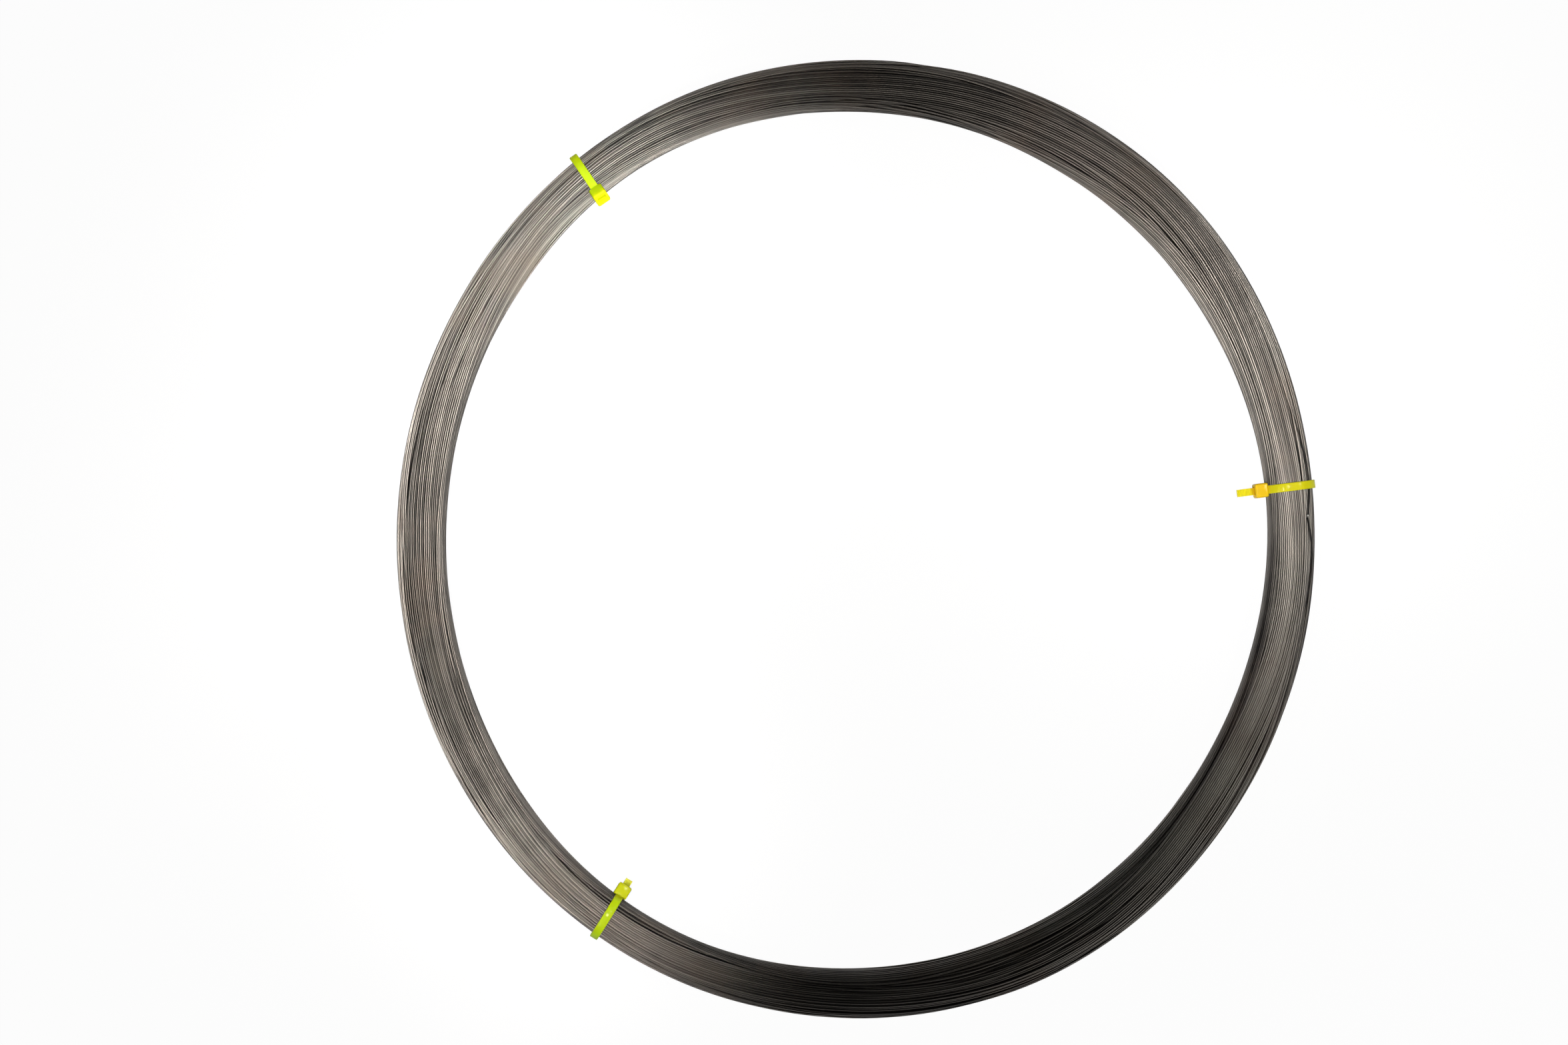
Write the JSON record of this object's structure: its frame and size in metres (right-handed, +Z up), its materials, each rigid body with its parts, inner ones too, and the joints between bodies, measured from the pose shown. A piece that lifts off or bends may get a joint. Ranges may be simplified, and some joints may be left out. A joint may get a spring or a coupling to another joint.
{
  "type": "coil of tungsten wire",
  "caption": "Flat-lying oval coil of bare tungsten wire, its bundle of turns held together by nylon cable ties with their heads on the inner side.",
  "frame": {"origin": "centre of the coil's oval, on the floor that its ties stand on", "axes": "+Z up out of the flat-lying coil, +Y along the coil's long way, +X across it towards the tie with the long tail"},
  "size_m": [0.2758, 0.2876, 0.0142],
  "materials": {
    "wire": "bare drawn tungsten, grey with a satin metal shine",
    "tie_yellow": "moulded yellow nylon, semi-gloss",
    "tie_lime": "moulded lime-yellow nylon, semi-gloss",
    "tie_green": "moulded green-yellow nylon, semi-gloss"
  },
  "bodies": {
    "root": {"wire_coil": "wire", "cable_tie_right": "tie_yellow", "cable_tie_upper_left": "tie_lime", "cable_tie_lower_left": "tie_green"}
  },
  "joints": []
}
